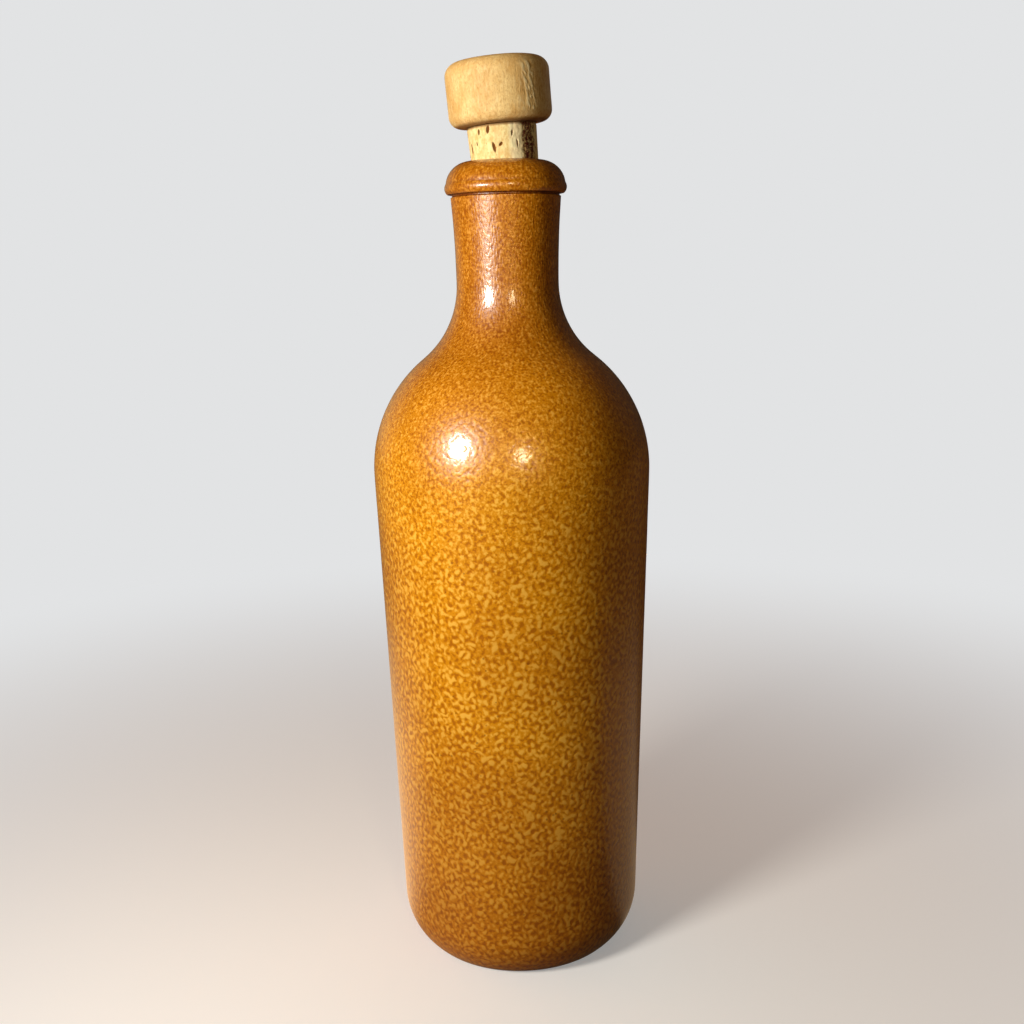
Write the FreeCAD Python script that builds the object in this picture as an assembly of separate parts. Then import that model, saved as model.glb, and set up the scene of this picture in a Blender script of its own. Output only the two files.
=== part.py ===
import FreeCAD, Part
import math
import os

# A small stoneware bottle closed by a T-shaped stopper: a turned wooden head glued on a
# tapered cork. Millimetres, +Z up, the origin at the middle of the standing face.
# Three solids: the bottle, the cork and the head. Each is turned about one axis, and the
# cork and the head share an axis that leans, because the cork is pushed in a little askew.

# ---------------------------------------------------------------- the cork and the mouth
cork_mouth_radius = 10.1      # the cork where it leaves the mouth
cork_swell = 0.35             # how much wider it is under the head, on the radius
cork_visible = 10.9           # length of cork between the mouth and the head
cork_inside = 14.0            # length of cork below the top of the lip
cork_edge_round = 0.8         # lower edge of the cork
gap_below_cork = 2.0          # from the cork down to the floor of the mouth
bore_floor_round = 1.5        # inside edge of that floor
mouth_round = 0.8             # radius of the lip's inner edge
lean_start = 0.35             # the cork starts to lean this share of mouth_round up the edge

# ---------------------------------------------------------------- the stopper's head
head_overhang = 5.0           # the head stands out this far past the cork
head_flare = 0.12             # how much wider its upper end is, on the radius
head_height = 18.5
head_top_round = 4.0
head_bottom_round = 3.4
stopper_lean = 4.3            # degrees off upright
stopper_lean_towards = 195.0  # degrees round from +X to the side that it leans to

# ---------------------------------------------------------------- the neck and collar
neck_wall = 5.53              # from the mouth's bore to the narrowest place of the neck
neck_flare = 1.07             # how much wider the neck is where it meets the collar
collar_overhang = 1.4         # the lip stands out this far past the neck
bead_proud = 0.4              # the bead stands out this far past the lip
bead_arc = 2.3                # radius of the bead's section
bead_below_lip = 0.6          # the bead's widest place, below the middle of the lip's round
bead_under = 1.75             # from the bead's widest place down to its underside
groove_arc = 0.45             # half-round groove scored under the bead
crease_round = 0.9            # hollow edge between the bead and the lip

# ---------------------------------------------------------------- the bottle's outside
bottle_height = 250.0         # standing face to the top of the lip
waist_drop = 36.0             # from the top of the lip down to the neck's narrowest place
shoulder_drop = 93.0          # from the top of the lip down to the fullest level
body_radius = 43.3            # at that fullest level, where the shoulder springs
shoulder_arc = 44.0           # radius of the shoulder's round
body_taper = 4.5              # how much slimmer the body is above the heel, on the radius
heel_level = 15.0             # height where the heel begins to turn in
heel_arc = 20.0               # radius of the heel's arc down to the foot

# ---------------------------------------------------------------- the underside
foot_edge_round = 1.2         # outer edge of the standing face
foot_width = 5.0              # width of the standing ring
recess_height = 2.2           # rise of the shallow dome inside the ring
recess_edge_round = 0.8       # inner edge of the standing ring

# ---------------------------------------------------------------- worked out from those
bore_radius = cork_mouth_radius     # a pressed cork fills its mouth
cork_top_radius = cork_mouth_radius + cork_swell
bore_floor = bottle_height - cork_inside - gap_below_cork
lean_level = bottle_height - (1 - lean_start) * mouth_round
waist_radius = bore_radius + neck_wall
neck_top_radius = waist_radius + neck_flare
lip_radius = neck_top_radius + collar_overhang
lip_arc = lip_radius - bore_radius - mouth_round
bead_level = bottle_height - lip_arc - bead_below_lip


def point(radius, height):
    """A point of a turned section, in the XZ plane."""
    return FreeCAD.Vector(radius, 0, height)


def on_arc(centre, radius, degrees):
    """The point of a circle at an angle from the outward direction towards up."""
    turn = math.radians(degrees)
    return centre + radius * point(math.cos(turn), math.sin(turn))


def bearing(start, end):
    """The angle of the way from one point to another, outward towards up, in degrees."""
    return math.degrees(math.atan2(end.z - start.z, end.x - start.x))


def arc(centre, radius, start, end):
    """An arc edge between two angles in degrees."""
    middle = on_arc(centre, radius, (start + end) / 2)
    return Part.Arc(on_arc(centre, radius, start), middle, on_arc(centre, radius, end)).toShape()


def chain(*points):
    """Straight edges through the points, in order."""
    return [Part.makeLine(a, b) for a, b in zip(points, points[1:])]


def rounded(solid, radius, at):
    """The solid with its circular edge through one point of the section rounded."""
    def is_that_edge(edge):
        if edge.Degenerated or not isinstance(edge.Curve, Part.Circle):
            return False
        circle = edge.Curve
        return abs(circle.Radius - at.x) < 1e-3 and abs(circle.Center.z - at.z) < 1e-3

    return solid.makeFillet(radius, [edge for edge in solid.Edges if is_that_edge(edge)])


def body_outline():
    """Foot to shoulder: heel arc, straight wall, shoulder arc. Gives the edges, the foot's
    outer point, and the shoulder's centre."""
    heel = point(body_radius - body_taper - heel_arc, heel_level)
    shoulder = point(body_radius - shoulder_arc, bottle_height - shoulder_drop)
    # the wall is the straight line that touches the heel's and the shoulder's circles
    apart = (shoulder - heel).Length
    wall = bearing(heel, shoulder) - math.degrees(math.acos((heel_arc - shoulder_arc) / apart))
    foot = -math.degrees(math.asin(heel_level / heel_arc))
    edges = [arc(heel, heel_arc, foot, wall)]
    edges += chain(on_arc(heel, heel_arc, wall), on_arc(shoulder, shoulder_arc, wall))
    # the hollow under the neck touches the shoulder's circle from outside, level with the waist
    waist = point(waist_radius, bottle_height - waist_drop)
    reach = waist.x - shoulder.x
    climb = waist.z - shoulder.z
    hollow_arc = (reach**2 + climb**2 - shoulder_arc**2) / (2 * (shoulder_arc - reach))
    hollow = waist + point(hollow_arc, 0)
    meet = bearing(shoulder, hollow)
    edges.append(arc(shoulder, shoulder_arc, wall, meet))
    edges.append(arc(hollow, hollow_arc, 180 + meet, 180))
    return edges, on_arc(heel, heel_arc, foot), waist


def neck_outline(waist):
    """Waist to the bead's underside: one long arc, then the scored groove."""
    bead_bottom = bead_level - bead_under
    climb = bead_bottom - 2 * groove_arc - waist.z
    flare_arc = (climb**2 + neck_flare**2) / (2 * neck_flare)
    flare = waist + point(flare_arc, 0)
    groove = point(neck_top_radius, bead_bottom - groove_arc)
    edges = [arc(flare, flare_arc, 180, 180 - math.degrees(math.asin(climb / flare_arc)))]
    edges.append(arc(groove, groove_arc, 270, 90))
    return edges, on_arc(groove, groove_arc, 90)


def collar_outline(neck_end):
    """The bead's underside to the mouth: the bead runs into the lip's round, which ends flat
    on top of the lip. Gives the edges and the crease between the two rounds."""
    bead = point(lip_radius + bead_proud - bead_arc, bead_level)
    lip = point(lip_radius - lip_arc, bottle_height - lip_arc)
    mouth = point(bore_radius + mouth_round, bottle_height - mouth_round)
    apart = (lip - bead).Length
    along = (bead_arc**2 - lip_arc**2 + apart**2) / (2 * apart)
    crease = bearing(bead, lip) - math.degrees(math.acos(along / bead_arc))
    crease_point = on_arc(bead, bead_arc, crease)
    under = -math.degrees(math.asin(bead_under / bead_arc))
    edges = chain(neck_end, on_arc(bead, bead_arc, under))
    edges.append(arc(bead, bead_arc, under, crease))
    edges.append(arc(lip, lip_arc, bearing(lip, crease_point), 90))
    edges.append(arc(mouth, mouth_round, 90, 180))
    return edges, crease_point


def bottle():
    """One turned solid: foot, heel, widening body, shoulder, waisted neck, collar and mouth."""
    body, foot, waist = body_outline()
    neck, neck_end = neck_outline(waist)
    collar, crease = collar_outline(neck_end)
    bore_edge = point(bore_radius, bore_floor)
    mouth = chain(
        point(bore_radius, bottle_height - mouth_round), bore_edge, point(0, bore_floor),
        point(0, recess_height),
    )
    # the recess under the foot is a shallow dome
    recess = foot - point(foot_width, 0)
    dome_arc = (recess.x**2 + recess_height**2) / (2 * recess_height)
    dome = point(0, recess_height - dome_arc)
    under = [arc(dome, dome_arc, 90, bearing(dome, recess))] + chain(recess, foot)

    outline = Part.Wire(Part.sortEdges(body + neck + collar + mouth + under)[0])
    solid = Part.Face(outline).revolve(FreeCAD.Vector(0, 0, 0), FreeCAD.Vector(0, 0, 1), 360)
    for radius, at in (
        (foot_edge_round, foot),
        (recess_edge_round, recess),
        (crease_round, crease),
        (bore_floor_round, bore_edge),
    ):
        solid = rounded(solid, radius, at)
    return solid


def leaning(shape):
    """A stopper piece, drawn upright on the origin, put where the cork starts to lean."""
    side = math.radians(stopper_lean_towards)
    hinge = FreeCAD.Vector(-math.sin(side), math.cos(side), 0)
    placed = shape.copy()
    placed.Placement = FreeCAD.Placement(
        point(0, lean_level), FreeCAD.Rotation(hinge, stopper_lean)
    )
    return placed


def stopper_cork():
    """The cork: squeezed upright to the bore below the lip, tapered and leaning above it."""
    cork_floor = point(0, bottle_height - cork_inside)
    plug = Part.makeCylinder(bore_radius, lean_level - cork_floor.z, cork_floor)
    plug = rounded(plug, cork_edge_round, cork_floor + point(bore_radius, 0))
    at_mouth = Part.Wire(Part.makeCircle(bore_radius, point(0, lean_level)))
    under_head = Part.Wire(Part.makeCircle(cork_top_radius, point(0, cork_visible)))
    shank = Part.makeLoft([at_mouth, leaning(under_head)], True, True)
    return plug.fuse(shank)


def stopper_head():
    """The wooden head: a short turned knob, a little wider on top, seated on the cork."""
    lower = point(cork_top_radius + head_overhang, cork_visible)
    upper = lower + point(head_flare, head_height)
    knob = Part.makeCone(lower.x, upper.x, head_height, point(0, cork_visible))
    knob = rounded(knob, head_top_round, upper)
    knob = rounded(knob, head_bottom_round, lower)
    return leaning(knob)


os.makedirs("parts", exist_ok=True)
for name, shape in (
    ("bottle", bottle()),
    ("stopper_cork", stopper_cork()),
    ("stopper_head", stopper_head()),
):
    solid = shape.Solids[0]
    print(name, "solids", len(shape.Solids), "valid", shape.isValid(), "cm3", round(solid.Volume / 1000, 2))
    solid.exportStep("parts/%s.step" % name)
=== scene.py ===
import math

import bmesh
import bpy
import numpy as np
from mathutils import Matrix, Vector, noise


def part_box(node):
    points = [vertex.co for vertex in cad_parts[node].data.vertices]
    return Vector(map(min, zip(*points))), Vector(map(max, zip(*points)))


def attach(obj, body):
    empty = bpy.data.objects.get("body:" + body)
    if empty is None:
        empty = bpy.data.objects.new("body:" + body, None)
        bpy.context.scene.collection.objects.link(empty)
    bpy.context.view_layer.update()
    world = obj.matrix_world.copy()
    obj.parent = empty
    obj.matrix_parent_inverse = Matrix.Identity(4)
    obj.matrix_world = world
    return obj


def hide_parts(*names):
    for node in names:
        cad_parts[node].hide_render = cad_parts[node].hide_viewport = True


# A stoneware bottle with a leaning cork stopper, in metres. Each of the three pieces is a finer
# mesh over its CAD node's own outline, with the surface's relief in it, and a node material.

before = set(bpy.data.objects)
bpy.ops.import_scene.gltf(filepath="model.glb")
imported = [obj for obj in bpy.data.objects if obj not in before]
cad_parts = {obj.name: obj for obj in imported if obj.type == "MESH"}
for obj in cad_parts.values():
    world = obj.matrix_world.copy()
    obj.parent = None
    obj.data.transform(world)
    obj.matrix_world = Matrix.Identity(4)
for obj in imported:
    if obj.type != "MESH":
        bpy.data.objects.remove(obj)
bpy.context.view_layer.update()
scene = bpy.context.scene
MM = 0.001
UP = Vector((0, 0, 1))

bottle_low, bottle_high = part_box("bottle")
HEIGHT = bottle_high.z - bottle_low.z
BODY_RADIUS = bottle_high.x
FRONT = -math.pi / 2  # the bearing that faces the camera
PATCH_CELLS = 0.7  # about how wide a light or dark patch of noise is, in cells of the noise


# ------------------------------------------------------------------ outlines read from the frame

def axis_frame(origin, axis):
    """The matrix from a turned piece's own frame, axis up, to the shared frame."""
    return Matrix.Translation(origin) @ UP.rotation_difference(axis).to_matrix().to_4x4()


def cork_top():
    """Centre, axis and radius of the leaning round face that tops the cork."""
    nearly_up = 0.98  # the least z of the normal of such a face
    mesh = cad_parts["stopper_cork"].data
    faces = [f for f in mesh.polygons if f.normal.z > nearly_up]
    axis = sum((f.normal * f.area for f in faces), Vector()).normalized()
    rim = [mesh.vertices[i].co for f in faces for i in f.vertices]
    centre = sum((f.center * f.area for f in faces), Vector()) / sum(f.area for f in faces)
    return centre, axis, max((point - centre).length for point in rim)


def turned_outline(node, place):
    """The (radius, height) points of a turned CAD node's outline in its own frame, from the
    axis below, round the outside, to the axis above, read along the seam of its mesh."""
    slack = 0.02 * MM
    shape = bmesh.new()
    shape.from_mesh(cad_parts[node].data)
    shape.transform(place.inverted())
    bmesh.ops.remove_doubles(shape, verts=shape.verts, dist=0.002 * MM)
    seam = {v for v in shape.verts if abs(v.co.y) < slack and v.co.x > -slack}
    beside = {v: {edge.other_vert(v) for edge in v.link_edges} & seam for v in seam}
    path = [min((v for v in seam if len(beside[v]) == 1), key=lambda v: v.co.z)]
    while beside[path[-1]] - set(path):
        path.append(min(beside[path[-1]] - set(path), key=lambda v: (v.co - path[-1].co).length))
    points = [(max(v.co.x, 0.0), v.co.z) for v in path]
    shape.free()
    ends = [(0.0, points[0][1])] + points + [(0.0, points[-1][1])]
    return np.array([p for p, before in zip(ends, [None] + ends) if p != before])


# ------------------------------------------------------------------ lathe meshes

def smooth_span(points, step):
    """A centripetal Catmull-Rom line through the points, sampled about every step."""
    line = np.vstack([2 * points[0] - points[1], points, 2 * points[-1] - points[-2]])
    sampled = [points[:1]]
    for a, b, c, d in zip(line, line[1:], line[2:], line[3:]):
        t1, t2, t3 = np.cumsum([np.sqrt(np.linalg.norm(q - p)) for p, q in ((a, b), (b, c), (c, d))])
        count = max(1, math.ceil(np.linalg.norm(c - b) / step))
        t = t1 + (t2 - t1) * np.arange(1, count + 1)[:, None] / count
        ab = a + (b - a) * t / t1
        bc = b + (c - b) * (t - t1) / (t2 - t1)
        cd = c + (d - c) * (t - t2) / (t3 - t2)
        abc = ab + (bc - ab) * t / t2
        bcd = bc + (cd - bc) * (t - t1) / (t3 - t1)
        sampled.append(abc + (bcd - abc) * (t - t1) / (t2 - t1))
    return np.vstack(sampled)


def smooth_line(points, step, corner=35):
    """The outline as a smooth line that keeps its corners, which turn by more than corner
    degrees."""
    runs = np.diff(points, axis=0)
    headings = np.unwrap(np.arctan2(runs[:, 1], runs[:, 0]))
    breaks = np.flatnonzero(np.abs(np.diff(headings)) > math.radians(corner)) + 1
    ends = [0, *breaks, len(points) - 1]
    spans = [smooth_span(points[i : j + 1], step) for i, j in zip(ends, ends[1:])]
    return np.vstack([spans[0]] + [span[1:] for span in spans[1:]])


def spaced_rows(points, longest, turn, shortest, growth=0.3):
    """Rows along an outline: no further apart than longest nor than a turn, in degrees, of the
    line, never closer than shortest, and with gaps that grow slowly away from a bend."""
    line = smooth_line(points, shortest / 2)
    runs = np.diff(line, axis=0)
    lengths = np.linalg.norm(runs, axis=1)
    straight = 1e-9
    bend = np.abs(np.gradient(np.unwrap(np.arctan2(runs[:, 1], runs[:, 0]))))
    gaps = np.clip(math.radians(turn) * lengths / np.maximum(bend, straight), shortest, longest)
    for order in (range(1, len(gaps)), range(len(gaps) - 2, -1, -1)):
        side = -1 if order.step > 0 else 1
        for i in order:
            gaps[i] = min(gaps[i], gaps[i + side] + growth * lengths[i])
    along = np.concatenate([[0], np.cumsum(lengths / gaps)])
    wanted = np.linspace(0, along[-1], math.ceil(along[-1]) + 1)
    return np.column_stack([np.interp(wanted, along, line[:, i]) for i in (0, 1)])


def hollows(rows, reach):
    """How concave an outline is at each row, felt as far as reach along the line: from 0 to 1,
    where it turns inward by a sharp angle or more."""
    sharp = math.radians(30)
    runs = np.diff(rows, axis=0)
    lengths = np.linalg.norm(runs, axis=1)
    headings = np.unwrap(np.arctan2(runs[:, 1], runs[:, 0]))
    turns = np.concatenate([[0], np.diff(headings), [0]])
    along = np.concatenate([[0], np.cumsum(lengths)])
    near = np.exp(-(((along[:, None] - along[None]) / reach) ** 2))
    return np.clip(-(near * turns[None]).sum(1) / sharp, 0, 1)


def grid(rows, segments):
    """Bearing, radius and height at each point of a lathe mesh, without its two end points."""
    inner = rows[1:-1]
    bearings = np.linspace(0, math.tau, segments, endpoint=False)
    bearing, row = np.meshgrid(bearings, np.arange(len(inner)))
    return bearing, inner[row, 0], inner[row, 1]


def lathe(name, rows, off, bend=None, **marks):
    """A closed mesh turned from rows of (radius, height). off is how far each point of the grid
    stands off along its normal, bend moves the finished points, and marks are point attributes
    for the material, each a grid or a value for each row."""
    segments = off.shape[1]
    along = rows[2:] - rows[:-2]
    normals = np.column_stack([along[:, 1], -along[:, 0]])
    normals /= np.linalg.norm(normals, axis=1)[:, None]
    bearing, radius, height = grid(rows, segments)
    radius = radius + off * normals[:, :1]
    height = height + off * normals[:, 1:]
    turned = np.stack([radius * np.cos(bearing), radius * np.sin(bearing), height], -1)
    points = np.vstack([[(0, 0, rows[0, 1]), (0, 0, rows[-1, 1])], turned.reshape(-1, 3)])
    if bend:
        points = bend(points)
    faces = []
    last = 2 + (len(off) - 1) * segments
    for i in range(segments):
        j = (i + 1) % segments
        faces.append((0, 2 + j, 2 + i))
        faces.append((1, last + i, last + j))
        for low in range(2, last, segments):
            faces.append((low + i, low + j, low + segments + j, low + segments + i))
    mesh = bpy.data.meshes.new(name)
    mesh.from_pydata(points.tolist(), [], faces)
    mesh.shade_smooth()
    for mark, values in marks.items():
        spread = np.broadcast_to(values if values.ndim == 2 else values[1:-1, None], off.shape)
        attribute = mesh.attributes.new(mark, "FLOAT", "POINT")
        attribute.data.foreach_set("value", np.append([0.0, 0.0], spread).astype(np.float32))
    piece = bpy.data.objects.new(name, mesh)
    scene.collection.objects.link(piece)
    return piece


def ripple(x, y, z, size, seed):
    """Smooth noise at each point, from about -1 to 1, with patches of about that size."""
    scale = PATCH_CELLS / size
    points = np.stack([x * scale + seed, y * scale, z * scale], -1).reshape(-1, 3)
    values = [noise.noise(Vector(point)) for point in points]
    return np.array(values).reshape(x.shape)


def smoothstep(low, high, value):
    """A smooth step from 0 to 1 as value goes from low to high."""
    share = np.clip((value - low) / (high - low), 0, 1)
    return share * share * (3 - 2 * share)


# ------------------------------------------------------------------ node materials

def srgb(red, green, blue):
    """A linear colour from display values of 0 to 255."""
    shares = [channel / 255 for channel in (red, green, blue)]
    return [s / 12.92 if s <= 0.04045 else ((s + 0.055) / 1.055) ** 2.4 for s in shares] + [1.0]


class Recipe:
    """The nodes of a material or of the world, written as calls that add them and give their
    output."""

    def __init__(self, owner, coordinates="Object"):
        owner.use_nodes = True
        self.owner = owner
        self.tree = owner.node_tree
        self.tree.nodes.clear()
        self.place = self.node("TexCoord", output=coordinates)

    def node(self, kind, inputs=None, output=0, **settings):
        """Adds one node, with a value or a link for each input, and gives one of its outputs."""
        made = self.tree.nodes.new("ShaderNode" + kind)
        for key, value in settings.items():
            setattr(made, key, value)
        for key, value in (inputs or {}).items():
            if isinstance(value, bpy.types.NodeSocket):
                self.tree.links.new(value, made.inputs[key])
            else:
                made.inputs[key].default_value = value
        return made.outputs[output] if made.outputs else None

    def math(self, operation, a, b=0.0, c=0.0):
        """One step of arithmetic."""
        return self.node("Math", {0: a, 1: b, 2: c}, operation=operation)

    def axes(self, vector):
        """The x, y and z of a vector."""
        return list(self.node("SeparateXYZ", {0: vector}).node.outputs)

    def from_axis(self, x, y):
        """The distance of a place from the upright axis."""
        squares = self.math("ADD", self.math("POWER", x, 2.0), self.math("POWER", y, 2.0))
        return self.math("SQRT", squares)

    def towards(self, axes, direction):
        """How far a vector reaches in a direction, both given by two or three axes."""
        reach = 0.0
        for axis, share in zip(axes, direction):
            reach = self.math("MULTIPLY_ADD", axis, share, reach)
        return reach

    def step(self, value, low, high, at_low=0.0, at_high=1.0):
        """A smooth step from at_low to at_high as value goes from low to high."""
        inputs = {"Value": value, "From Min": low, "From Max": high}
        inputs.update({"To Min": at_low, "To Max": at_high})
        return self.node("MapRange", inputs, interpolation_type="SMOOTHSTEP")

    def mix(self, factor, a, b, blend="MIX"):
        """Colour a, with b over it by the factor."""
        return self.node("Mix", {0: factor, 6: a, 7: b}, 2, data_type="RGBA", blend_type=blend)

    def stretched(self, scale):
        """The place on the piece, scaled by a number for each axis."""
        return self.node("Mapping", {"Vector": self.place, "Scale": scale})

    def noise(self, size, detail=0.0, roughness=0.5, distortion=0.0, place=None, output=0):
        """Noise about 0.5, with patches of about that size."""
        inputs = {"Vector": place or self.place, "Scale": PATCH_CELLS / size}
        inputs.update({"Detail": detail, "Roughness": roughness, "Distortion": distortion})
        return self.node("TexNoise", inputs, output)

    def cells(self, size, place=None):
        """The distance to the middle of the nearest of scattered cells of about that size."""
        inputs = {"Vector": place or self.place, "Scale": 1 / size}
        return self.node("TexVoronoi", inputs, "Distance")

    def waves(self, bearing, height, radius, wavelength, count, seed):
        """Even waves that cross a turned surface of about that radius in all directions, each
        from 0.6 to 1.5 wavelengths long. They add up to winding strokes, about 0, with a
        standard deviation of 1."""
        dice = np.random.default_rng(seed)
        total = 0.0
        for i in range(count):
            heading = math.pi * (i + dice.uniform(0, 0.8)) / count
            pitch = math.tau / (wavelength * dice.uniform(0.6, 1.5))
            rounds = round(pitch * radius * math.cos(heading))
            phase = self.math("MULTIPLY_ADD", bearing, rounds, dice.uniform(0, math.tau))
            phase = self.math("MULTIPLY_ADD", height, pitch * math.sin(heading), phase)
            total = self.math("ADD", self.math("SINE", phase), total)
        return self.math("MULTIPLY", total, 1 / math.sqrt(count / 2))

    def mark(self, name):
        """A point attribute that lathe() wrote."""
        return self.node("Attribute", output="Fac", attribute_name=name)

    def bump(self, height, distance):
        """The surface's normal, with relief that stands height times distance high."""
        return self.node("Bump", {"Height": height, "Distance": distance})

    def seen(self):
        """1 for what the camera sees, straight or through something clear, otherwise 0."""
        straight = self.node("LightPath", output="Is Camera Ray")
        return self.math("MAXIMUM", straight, self.node("LightPath", output="Is Transmission Ray"))

    def surface(self, **inputs):
        """The finished material: a Principled shader with these inputs."""
        named = {key.replace("_", " "): value for key, value in inputs.items()}
        shader = self.node("BsdfPrincipled", named)
        self.node("OutputMaterial", {"Surface": shader})
        return self.owner


def stroke_pattern(recipe, x, y, height, rise):
    """The glaze's pattern, about 0.5, and the coarse and the fine pattern that it is mixed from:
    winding strokes over the body and a fine grain over the neck, blended at the shoulder."""
    # A slow noise bends the waves.
    around, along, _ = recipe.axes(recipe.noise(5 * MM, detail=1.0, output="Color"))
    bearing = recipe.math("MULTIPLY_ADD", around, 0.07, recipe.math("ARCTAN2", y, x))
    level = recipe.math("MULTIPLY_ADD", along, 3.0 * MM, height)
    worms = recipe.waves(bearing, level, BODY_RADIUS, wavelength=2.1 * MM, count=13, seed=4)
    loose = recipe.noise(0.74 * MM, detail=2.0, distortion=0.3)
    coarse = recipe.math("MULTIPLY_ADD", loose, 0.5, 0.25)
    coarse = recipe.math("MULTIPLY_ADD", worms, 0.08, coarse)
    # Dark veins run where one more noise is near its middle.
    middling = recipe.math("SUBTRACT", recipe.noise(1.3 * MM, distortion=0.3), 0.5)
    beside_vein = recipe.math("SUBTRACT", recipe.math("ABSOLUTE", middling), 0.075)
    coarse = recipe.math("ADD", coarse, beside_vein)
    fine = recipe.noise(0.50 * MM, detail=2.0, roughness=0.6)

    grainy = recipe.step(rise, 0.42, 0.66, 0.12, 0.90)
    bold = recipe.step(rise, 0.45, 0.74, 0.95, 0.34)
    pattern = recipe.math("MULTIPLY_ADD", recipe.math("SUBTRACT", fine, 0.5), grainy, 0.5)
    pattern = recipe.math("MULTIPLY_ADD", recipe.math("SUBTRACT", coarse, 0.5), bold, pattern)
    return pattern, coarse, fine


def glaze_colour(recipe, rise, upward, pattern, stroke):
    """Light strokes on a darker ground, with faint clouds and a few dark specks. The glaze is
    redder upward and browner low on the body, where painted shade also darkens it as the lamp's
    light falls off, and in the hollows of the collar it is dark: pooled glaze and painted shade."""
    light = recipe.mix(upward, srgb(255, 195, 74), srgb(232, 161, 60))
    middle = recipe.mix(upward, srgb(229, 153, 4), srgb(198, 122, 4))
    ground = recipe.mix(upward, srgb(188, 112, 0), srgb(162, 87, 0))
    colour = recipe.mix(recipe.step(stroke, 0.0, 0.5), ground, middle)
    colour = recipe.mix(recipe.step(stroke, 0.5, 1.0), colour, light)
    clouds = recipe.step(recipe.noise(22 * MM, detail=2.0), 0.35, 0.68)
    shade = recipe.mix(clouds, srgb(255, 252, 245), srgb(238, 230, 220))
    colour = recipe.mix(1.0, colour, shade, "MULTIPLY")
    # Painted shade: darker and a little browner towards the foot, partly a browner glaze and partly
    # the lamp's light falling off.
    low_shade_and_tint = recipe.step(rise, 0.36, 0.02)
    colour = recipe.mix(low_shade_and_tint, colour, srgb(226, 214, 196), "MULTIPLY")
    # Painted shade: the collar's hollows are dark, partly glaze pooled there and partly the shade
    # that falls in them.
    pooled_and_shaded = recipe.math("MULTIPLY", recipe.mark("hollow"), recipe.step(pattern, 0.2, 0.6, 1.0, 0.8))
    colour = recipe.mix(pooled_and_shaded, colour, srgb(92, 34, 0))

    speck_size = recipe.step(recipe.noise(5 * MM), 0.45, 0.75, 0.0, 0.20)
    speck_core = recipe.math("MULTIPLY", speck_size, 0.6)
    speck = recipe.step(recipe.cells(2.6 * MM), speck_size, speck_core)
    return recipe.mix(recipe.math("MULTIPLY", speck, 0.5), colour, srgb(120, 58, 4))


def bare_clay(recipe, x, y, height):
    """How bare the clay is, from 0 to 1, and its colour. The glaze ends on a wavy line just
    above the floor and leaves out the recess inside the standing ring."""
    edge = recipe.math("MULTIPLY_ADD", recipe.noise(4 * MM, detail=2.0), 0.9 * MM, height)
    foot = recipe.step(edge, 1.35 * MM, 1.1 * MM)
    inside_ring = recipe.step(recipe.from_axis(x, y), 28.5 * MM, 28 * MM)
    recess = recipe.math("MULTIPLY", inside_ring, recipe.step(height, 6 * MM, 5 * MM))
    grit = recipe.noise(0.5 * MM, detail=3.0, roughness=0.7)
    clay = recipe.mix(recipe.step(grit, 0.3, 0.7), srgb(158, 124, 92), srgb(196, 164, 126))
    return recipe.math("MAXIMUM", foot, recess), clay


def glaze_skin(recipe, rise, upward, coarse, fine):
    """The wrinkled skin of the glaze, and the one of its gloss, which is smoother towards the
    neck and smoothest on the collar."""
    skin = recipe.math("MULTIPLY_ADD", fine, 0.2, coarse)
    depth = recipe.step(upward, 0.0, 1.0, 0.075 * MM, 0.035 * MM)
    smoother = recipe.math("MULTIPLY", skin, depth)
    smoother = recipe.math("MULTIPLY", smoother, recipe.step(rise, 0.955, 0.965, 1.0, 0.15))
    in_metres = 1.0
    return recipe.bump(skin, 0.11 * MM), recipe.bump(smoother, in_metres)


def glaze_material():
    """Amber glaze over a clay body that shows at the foot. Just below the collar the glaze is
    thin and has no gloss."""
    recipe = Recipe(bpy.data.materials.new("amber_glaze"))
    x, y, height = recipe.axes(recipe.place)
    rise = recipe.math("DIVIDE", height, HEIGHT)
    upward = recipe.step(rise, 0.58, 0.84)
    pattern, coarse, fine = stroke_pattern(recipe, x, y, height, rise)
    stroke = recipe.step(pattern, 0.27, 0.78)
    amber = glaze_colour(recipe, rise, upward, pattern, stroke)
    bare, clay = bare_clay(recipe, x, y, height)
    wrinkles, gloss_skin = glaze_skin(recipe, rise, upward, coarse, fine)
    thin = recipe.math("MULTIPLY", recipe.step(rise, 0.885, 0.950), recipe.step(rise, 0.965, 0.960))
    full = 0.75
    gloss = recipe.math("MULTIPLY_ADD", recipe.math("MAXIMUM", bare, thin), -full, full)
    return recipe.surface(
        Base_Color=recipe.mix(bare, amber, clay),
        Roughness=recipe.math("MAXIMUM", bare, recipe.step(stroke, 0.0, 1.0, 0.34, 0.39)),
        Specular_IOR_Level=0.65,
        Normal=wrinkles,
        Coat_Weight=gloss,
        Coat_Roughness=0.12,
        Coat_IOR=1.5,
        Coat_Normal=gloss_skin,
    )


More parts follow.
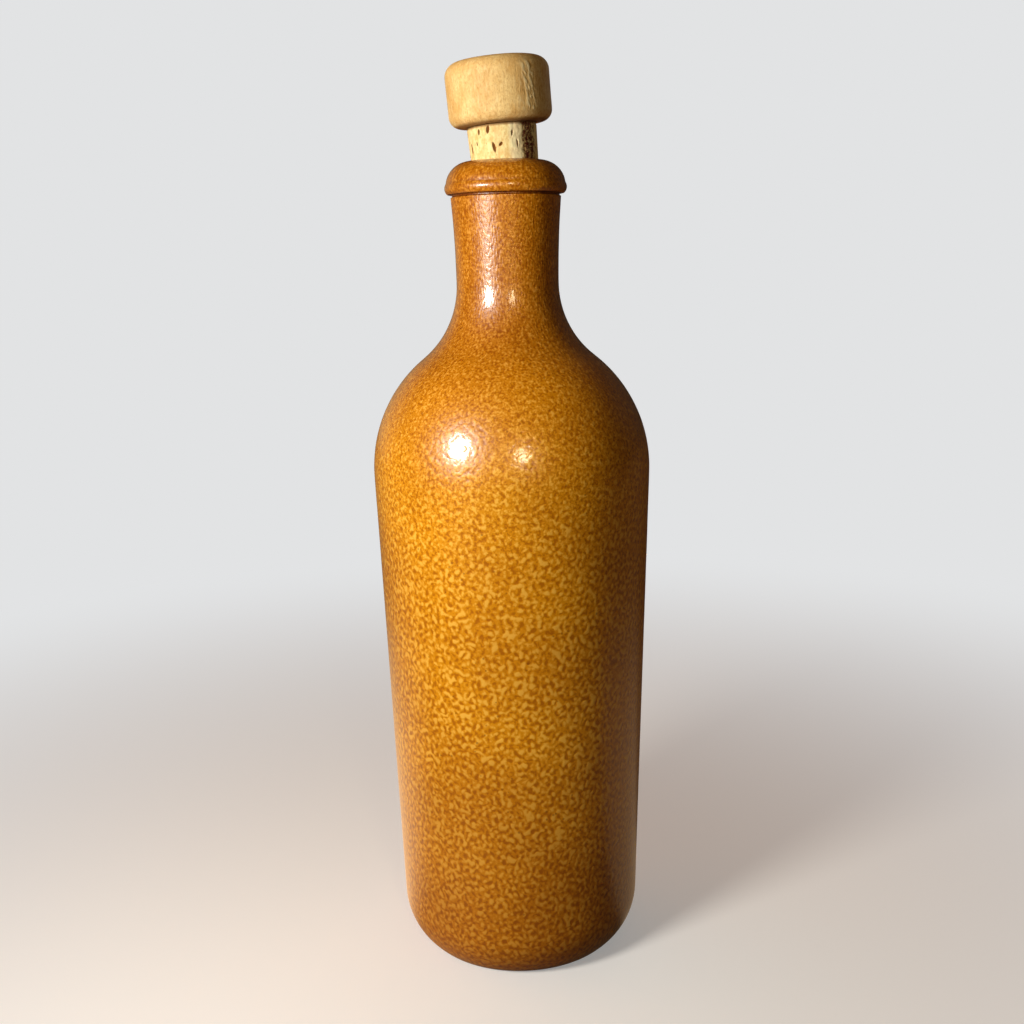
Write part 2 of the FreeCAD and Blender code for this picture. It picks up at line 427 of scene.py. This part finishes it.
def cork_material():
    """Cream cork bark with brown pores, a dark crumbly seam with a pale strip beside it that is
    partly painted light, faint growth lines, and painted shadow under the head."""
    recipe = Recipe(bpy.data.materials.new("stopper_cork_bark"))
    grain = recipe.noise(0.9 * MM, detail=3.0, roughness=0.65, place=recipe.stretched((1, 1, 0.55)))
    lines = recipe.noise(1.6 * MM, detail=2.0, place=recipe.stretched((1, 1, 0.08)))
    colour = recipe.mix(recipe.step(grain, 0.30, 0.68), srgb(232, 192, 120), srgb(255, 236, 170))
    faint = recipe.step(lines, 0.54, 0.70, 0.0, 0.45)
    colour = recipe.mix(faint, colour, srgb(232, 186, 122))
    crumbs = recipe.step(recipe.noise(0.55 * MM, detail=2.0, roughness=0.7), 0.42, 0.66, 1.0, 0.25)
    # Partly painted light: the strip beside the seam is rough pale bark, made paler to stand in for
    # light.
    colour = recipe.mix(recipe.mark("pale"), colour, srgb(255, 246, 206))
    # Painted shadow: a brown band at the top of the cork, where the head above shades it.
    colour = recipe.mix(recipe.mark("shadow_under_head"), colour, srgb(128, 78, 34))
    seam = recipe.math("MULTIPLY", recipe.mark("seam"), crumbs)
    colour = recipe.mix(seam, colour, srgb(92, 30, 14))
    pore = recipe.step(recipe.mark("pore"), 0.05, 0.55)
    colour = recipe.mix(pore, colour, srgb(120, 70, 18))
    dots = recipe.cells(1.1 * MM, place=recipe.stretched((1, 1, 0.6)))
    colour = recipe.mix(recipe.step(dots, 0.20, 0.10, 0.0, 0.5), colour, srgb(170, 116, 48))
    return recipe.surface(
        Base_Color=colour,
        Roughness=recipe.step(grain, 0.2, 0.8, 0.85, 0.7),
        Specular_IOR_Level=0.3,
        Normal=recipe.bump(grain, 0.20 * MM),
    )


def wood_material():
    """Pale close-grained wood turned along its grain: growth rings round a heart outside the
    knob, fine pores and short darker flecks that follow the grain, and painted shade underneath."""
    recipe = Recipe(bpy.data.materials.new("stopper_turned_wood"))
    heart = recipe.node("Mapping", {"Vector": recipe.place, "Location": (-31 * MM, 22 * MM, 0)})
    x, y, _ = recipe.axes(heart)
    ring_width = 2.3 * MM
    warp = recipe.noise(9 * MM, detail=2.0)
    rings = recipe.math("MULTIPLY_ADD", warp, 2.6 * MM, recipe.from_axis(x, y))
    rings = recipe.math("FRACT", recipe.math("DIVIDE", rings, ring_width))
    late = recipe.math("MULTIPLY", recipe.step(rings, 0.35, 0.92), recipe.step(rings, 1.0, 0.93))

    blotches = recipe.noise(3.0 * MM, detail=3.0, roughness=0.6, place=recipe.stretched((1, 1, 0.5)))
    colour = recipe.mix(recipe.step(blotches, 0.32, 0.68), srgb(232, 186, 112), srgb(250, 216, 146))
    colour = recipe.mix(recipe.math("MULTIPLY", late, 0.14), colour, srgb(206, 154, 84))
    pores = recipe.noise(0.36 * MM, detail=2.0, roughness=0.6, place=recipe.stretched((1, 1, 0.42)))
    colour = recipe.mix(recipe.step(pores, 0.50, 0.70, 0.0, 0.42), colour, srgb(198, 142, 70))
    flecks = recipe.cells(0.85 * MM, place=recipe.stretched((1, 1, 0.5)))
    colour = recipe.mix(recipe.step(flecks, 0.24, 0.10, 0.0, 0.40), colour, srgb(176, 118, 54))
    slant = {"Vector": recipe.place, "Rotation": (0, math.radians(28), 0), "Scale": (1, 1, 0.25)}
    fibres = recipe.noise(0.45 * MM, detail=1.0, place=recipe.node("Mapping", slant))
    colour = recipe.mix(recipe.step(fibres, 0.52, 0.72, 0.0, 0.35), colour, srgb(255, 232, 172))
    grain = recipe.noise(0.5 * MM, detail=3.0, roughness=0.7)
    colour = recipe.mix(recipe.step(grain, 0.36, 0.64, 0.28, 0.0), colour, srgb(196, 140, 70))
    colour = recipe.mix(recipe.mark("scuff"), colour, srgb(255, 240, 190))
    _, _, above = recipe.axes(recipe.place)
    # Painted shade: the knob's underside is darkened, where the head shades itself.
    painted_underside_shade = recipe.step(above, 1.0 * MM, 0.1 * MM, 0.0, 0.75)
    colour = recipe.mix(painted_underside_shade, colour, srgb(120, 72, 34))
    return recipe.surface(
        Base_Color=colour,
        Roughness=recipe.step(pores, 0.3, 0.7, 0.5, 0.68),
        Specular_IOR_Level=0.35,
        Normal=recipe.bump(recipe.math("ADD", pores, recipe.math("ADD", fibres, grain)), 0.08 * MM),
    )


# ------------------------------------------------------------------ the three pieces

def glaze_relief(bearing, radius, height):
    """Slow unevenness of the thrown wall and the soft skin of the glaze over it. It dies out at
    the foot, which stands flat, is weaker on top of the lip, and stops at the bore, which holds
    the cork."""
    x, y = radius * np.cos(bearing), radius * np.sin(bearing)
    uneven = 0.10 * MM * ripple(x, y, height * 0.6, size=34 * MM, seed=3.1)
    skin = 0.022 * MM * ripple(x, y, height, size=3.4 * MM, seed=8.7)
    above_foot = smoothstep(0.4 * MM, 4 * MM, height)
    below_top = 1 - smoothstep(0.985 * HEIGHT, 0.996 * HEIGHT, height)
    bore_edge = 10.2 * MM
    outside_bore = np.where(radius < bore_edge, 0.0, 1.0)
    return (uneven + skin) * above_foot * (0.25 + 0.75 * below_top) * outside_bore


def make_bottle():
    outline = turned_outline("bottle", Matrix.Identity(4))
    rows = spaced_rows(outline, longest=1.25 * MM, turn=9, shortest=0.12 * MM)
    off = glaze_relief(*grid(rows, segments=280))
    piece = lathe("glazed_bottle", rows, off, hollow=hollows(rows, reach=0.85 * MM))
    piece.data.materials.append(glaze_material())
    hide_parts("bottle")
    return piece


# The pores that show in front: degrees round from the front, then height above the lip, half
# length and half width in millimetres, and slant in degrees.
FRONT_PORES = (
    (-42, 8.2, 1.1, 0.42, -6),
    (-24, 8.7, 1.5, 0.66, -10),
    (-67, 3.6, 2.0, 0.60, 6),
    (-49, 4.8, 0.8, 0.35, 0),
    (-16, 3.4, 1.9, 0.56, 10),
    (-4, 4.2, 0.9, 0.50, -40),
    (16, 7.2, 1.1, 0.28, -10),
    (24, 4.2, 1.3, 0.28, 5),
)
# The ranges of the same five values for the pores round the back.
BACK_PORES = ((60, 285), (-1, 11), (0.3, 1.3), (0.15, 0.42), (-15, 15))
BACK_PORE_COUNT = 46
SEAM_BEARING = (FRONT + math.radians(48)) % math.tau
SEAM_TO_STRIP = 0.45  # radians from the dark seam to the pale strip beside it
SCUFF_BEARING = (FRONT + math.radians(35)) % math.tau


def cork_pores(bearing, height, radius, lip):
    """How deep each point of the cork lies in a pore, from 0 to 1."""
    dice = np.random.default_rng(seed=11)
    pores = list(FRONT_PORES)
    for _ in range(BACK_PORE_COUNT):
        pores.append([dice.uniform(*limits) for limits in BACK_PORES])
    deepest = np.zeros(bearing.shape)
    for round_from_front, above, half_length, half_width, slant in pores:
        away = bearing - FRONT - math.radians(round_from_front)
        across = radius * ((away + math.pi) % math.tau - math.pi)
        along = height - lip - above * MM
        turn = math.radians(slant)
        u = (across * math.cos(turn) + along * math.sin(turn)) / (half_width * MM)
        v = (along * math.cos(turn) - across * math.sin(turn)) / (half_length * MM)
        deepest = np.maximum(deepest, 1 - smoothstep(0.25, 1.15, np.hypot(u, v)))
    return deepest


def cork_rows(mouth, top, radius):
    """Rows of the plug, which is as wide as the bore, and of the shank above the mouth."""
    edge = 0.8 * MM
    plug_gap, shank_gap = 1.5 * MM, 0.16 * MM
    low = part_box("stopper_cork")[0].z
    above_edge = low + 2 * MM
    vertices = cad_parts["stopper_cork"].data.vertices
    bore = max(v.co.x for v in vertices if v.co.z < above_edge)
    plug = [(0, low), (bore - edge, low), (bore - 0.3 * edge, low + 0.3 * edge), (bore, low + edge)]
    plug += [(bore, z) for z in np.arange(above_edge, mouth, plug_gap)]
    heights = np.arange(mouth, top, shank_gap)
    radii = bore + (radius - bore) * (heights - mouth) / (top - mouth)
    return np.vstack([plug, np.column_stack([radii, heights]), [(radius, top), (0, top)]])


def cork_surface(bearing, ring, height, mouth, top, radius):
    """How far the cork stands off its outline at each point, and its marks."""
    x, y = ring * np.cos(bearing), ring * np.sin(bearing)
    above_mouth = smoothstep(mouth, mouth + 0.6 * MM, height)
    outside = above_mouth * (1 - smoothstep(top - 0.3 * MM, top, height))
    pore = cork_pores(bearing, height, radius, bottle_high.z) * outside
    crumbs = ripple(x, y, height, size=0.7 * MM, seed=2.0)
    wander = 0.05 * ripple(height, height, height, size=3 * MM, seed=5.0)
    from_seam = np.abs(bearing - SEAM_BEARING - wander) + 0.16 * crumbs
    seam = (1 - smoothstep(0.17, 0.32, from_seam)) * outside
    # A pale rough strip to the left of the seam, partly painted light.
    from_strip = np.abs(bearing - SEAM_BEARING + SEAM_TO_STRIP - wander)
    pale = (1 - smoothstep(0.10, 0.28, from_strip)) * outside
    # The band just under the head: painted shadow in the colour, and a slight recess.
    shadow_under_head = smoothstep(top - 1.1 * MM, top - 0.3 * MM, height)
    bark = ripple(x, y, height * 0.5, size=2.2 * MM, seed=9.0)
    rough = seam * (0.12 + 0.16 * crumbs) + pale * 0.12 * crumbs + 0.2 * shadow_under_head
    off = (0.05 * bark * outside - 0.45 * pore - rough) * MM
    return off, {"pore": pore, "seam": seam, "pale": 0.5 * pale, "shadow_under_head": 0.8 * shadow_under_head}


def make_cork(place, radius):
    """The plug stands upright in the bore. Above the mouth each ring leans a little further,
    up to the leaning face under the head."""
    mouth = bottle_high.z - 0.5 * MM
    top = place.translation.z

    def lean(points):
        share = np.clip((points[:, 2:] - mouth) / (top - mouth), 0, 1)
        flat = np.column_stack([points[:, :2], np.zeros(len(points)), np.ones(len(points))])
        leaning = (flat @ np.array(place).T)[:, :3]
        level = np.column_stack([points[:, :2], np.minimum(points[:, 2], mouth)])
        return level * (1 - share) + leaning * share

    rows = cork_rows(mouth, top, radius)
    off, marks = cork_surface(*grid(rows, segments=460), mouth, top, radius)
    piece = lathe("cork", rows, off, bend=lean, **marks)
    piece.data.materials.append(cork_material())
    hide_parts("stopper_cork")
    return piece


def make_head(place):
    """The turned knob, with raised grain and a scuffed strip down its front right."""
    outline = turned_outline("stopper_head", place)
    rows = spaced_rows(outline, longest=0.25 * MM, turn=6, shortest=0.12 * MM)
    low, high = rows[0, 1], rows[-1, 1]
    bearing, ring, height = grid(rows, segments=400)
    x, y = ring * np.cos(bearing), ring * np.sin(bearing)
    wander = 0.03 * ripple(height, height, height, size=2 * MM, seed=1.0)
    from_strip = np.abs(bearing - SCUFF_BEARING - wander)
    above_bottom = smoothstep(low + 0.5 * MM, low + 4 * MM, height)
    below_top = 1 - smoothstep(high - 4 * MM, high - MM, height)
    strip = (1 - smoothstep(0.04, 0.24, from_strip)) * above_bottom * below_top
    fibres = ripple(x + 0.5 * height, y, height * 0.35, size=0.50 * MM, seed=4.0)
    scuff = strip * smoothstep(-0.05, 0.3, fibres)
    uneven = 0.07 * ripple(x, y, height, size=11 * MM, seed=6.0) * smoothstep(0, 2 * MM, height)
    raised = 0.010 * ripple(x, y, height * 0.3, size=1.1 * MM, seed=7.0)
    off = (uneven + raised - 0.03 * strip + 0.08 * scuff) * MM

    piece = lathe("turned_head", rows, off, scuff=0.5 * scuff)
    piece.matrix_world = place
    piece.data.materials.append(wood_material())
    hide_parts("stopper_head")
    return piece


cork_centre, cork_axis, cork_radius = cork_top()
head_place = axis_frame(cork_centre, cork_axis)
for piece in (make_bottle(), make_cork(head_place, cork_radius), make_head(head_place)):
    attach(piece, "root")


# ------------------------------------------------------------------ floor, light and camera

PALE = srgb(226, 227, 228)


def floor_cast(recipe, x, distance, away):
    """The brown of the floor that lights the bottle: near it, pale to the left and dark to the
    right."""
    leftward = recipe.math("DIVIDE", x, recipe.math("MULTIPLY", distance, -1.0))
    near_cast = recipe.mix(recipe.step(leftward, -0.7, 0.0), srgb(56, 38, 24), srgb(128, 92, 58))
    near_cast = recipe.mix(recipe.step(leftward, 0.0, 0.8), near_cast, srgb(196, 156, 108))
    return recipe.mix(recipe.step(away, 0.3, 0.8), near_cast, srgb(104, 72, 48))


def floor_strips(recipe, x, y, distance, away):
    """The glow of the floor in reflections: a bright strip behind left and a weak one to the
    right, both fainter away from the bottle."""
    back_left = recipe.math("DIVIDE", recipe.towards((x, y), (-0.7, 0.7)), distance)
    rightward = recipe.math("DIVIDE", recipe.towards((x, y), (0.97, 0.24)), distance)
    strips = recipe.step(back_left, 0.45, 0.95, 0.05, 1.0)
    strips = recipe.math("ADD", strips, recipe.step(rightward, 0.82, 0.95, 0.0, 0.24))
    strips = recipe.math("MULTIPLY", strips, recipe.step(away, 1.8, 0.5, 0.3, 1.7))
    return recipe.math("MULTIPLY", recipe.node("LightPath", output="Is Glossy Ray"), strips)


def make_floor():
    """A pale floor that fades, far from the bottle, into the background. Its light on the
    bottle and its reflections are browner, so that the bottle's right side stays dark."""
    recipe = Recipe(bpy.data.materials.new("pale_floor"))
    x, y, _ = recipe.axes(recipe.place)
    distance = recipe.from_axis(x, y)
    away = recipe.math("DIVIDE", distance, HEIGHT)
    seen = recipe.seen()
    cast = floor_cast(recipe, x, distance, away)
    plain = recipe.node("BsdfDiffuse", {"Color": recipe.mix(seen, cast, srgb(226, 223, 218))})
    mirrored = floor_strips(recipe, x, y, distance, away)
    strength = recipe.math("MULTIPLY_ADD", seen, 0.34, recipe.math("MULTIPLY", mirrored, 0.65))
    tint = recipe.mix(seen, srgb(236, 200, 158), PALE)
    lift = recipe.node("Emission", {"Color": tint, "Strength": strength})
    near = recipe.node("AddShader", {0: plain, 1: lift})
    far = recipe.node("Emission", {"Color": PALE})
    fade = recipe.math("MULTIPLY", recipe.step(away, 0.2, 2.1), seen)
    recipe.node("OutputMaterial", {"Surface": recipe.node("MixShader", {0: fade, 1: near, 2: far})})
    bpy.ops.mesh.primitive_circle_add(vertices=96, radius=12 * HEIGHT, fill_type="NGON")
    plane = bpy.context.object
    plane.name = "floor"
    plane.data.materials.append(recipe.owner)


def make_world():
    """Pale to the eye all round. Its soft light comes from behind, from the left and from
    above, and hardly from the front right, so that the bottle keeps its dark side. In
    reflections it is dim, but for a patch behind left and a small bright spot round the second
    lamp."""
    world = bpy.data.worlds.new("studio")
    scene.world = world
    recipe = Recipe(world, "Generated")
    axes = recipe.axes(recipe.place)
    x, _, z = axes
    back_left = recipe.towards(axes, (-0.6, 0.8))
    behind = recipe.towards(axes, (0.42, 0.9))
    to_second_lamp = recipe.towards(axes, (0.148, -0.943, 0.295))

    soft = recipe.step(back_left, 0.1, 0.9, 0.006, 0.5)
    soft = recipe.math("ADD", soft, recipe.step(x, 0.1, -0.9, 0.0, 0.08))
    soft = recipe.math("ADD", soft, recipe.step(z, 0.2, 1.0, 0.0, 0.05))
    soft = recipe.math("ADD", soft, recipe.step(behind, 0.78, 0.99, 0.0, 1.3))
    patch = recipe.step(back_left, 0.80, 1.0, 0.008, 0.35)
    spot = recipe.step(to_second_lamp, 0.9925, 0.9965, 0.0, 13.0)
    mirrored = recipe.math("ADD", patch, spot)

    glossy = recipe.node("LightPath", output="Is Glossy Ray")
    seen = recipe.seen()
    light = recipe.node("Mix", {0: glossy, 2: soft, 3: mirrored})
    light = recipe.node("Mix", {0: seen, 2: light, 3: 1.0})
    warm = recipe.mix(recipe.step(behind, 0.6, 0.9), srgb(255, 180, 110), srgb(255, 232, 206))
    tint = recipe.mix(glossy, warm, srgb(255, 240, 200))
    tint = recipe.mix(seen, tint, PALE)
    shader = recipe.node("Background", {"Color": tint, "Strength": light})
    recipe.node("OutputWorld", {"Surface": shader})


def make_lamp(name, place, target, size, power, colour):
    """A round lamp. Its place, target and size are in bottle heights, its power in watts."""
    data = bpy.data.lights.new(name, "AREA")
    data.shape = "DISK"
    data.size = size * HEIGHT
    data.energy = power
    data.color = colour
    origin = Vector(place) * HEIGHT
    lamp = bpy.data.objects.new(name, data)
    lamp.matrix_world = axis_frame(origin, origin - Vector(target) * HEIGHT)
    lamp.visible_camera = False
    scene.collection.objects.link(lamp)


def make_camera():
    """It stands one and a half bottle heights off, a little below the top of the bottle."""
    data = bpy.data.cameras.new("camera")
    data.sensor_width = 36
    data.lens = 42.19
    camera = bpy.data.objects.new("camera", data)
    back, up = 1.4995 * HEIGHT, 0.8828 * HEIGHT
    down, turn, roll = (math.radians(angle) for angle in (11.83, 0.036, -1.28))
    placed = Matrix.Translation((0, -back, up))
    turned = Matrix.Rotation(turn, 4, "Z") @ Matrix.Rotation(math.pi / 2 - down, 4, "X")
    camera.matrix_world = placed @ turned @ Matrix.Rotation(roll, 4, "Z")
    scene.collection.objects.link(camera)
    scene.camera = camera


make_floor()
make_world()
make_lamp("key", (-0.80, -0.89, 1.06), (0, 0, 0.72), size=0.37, power=1.10, colour=(1.0, 0.965, 0.90))
make_lamp("second", (0.32, -2.07, 1.22), (0, 0, 0.6), size=0.26, power=0.25, colour=(1.0, 0.90, 0.56))
make_camera()
scene.view_settings.view_transform = "Standard"
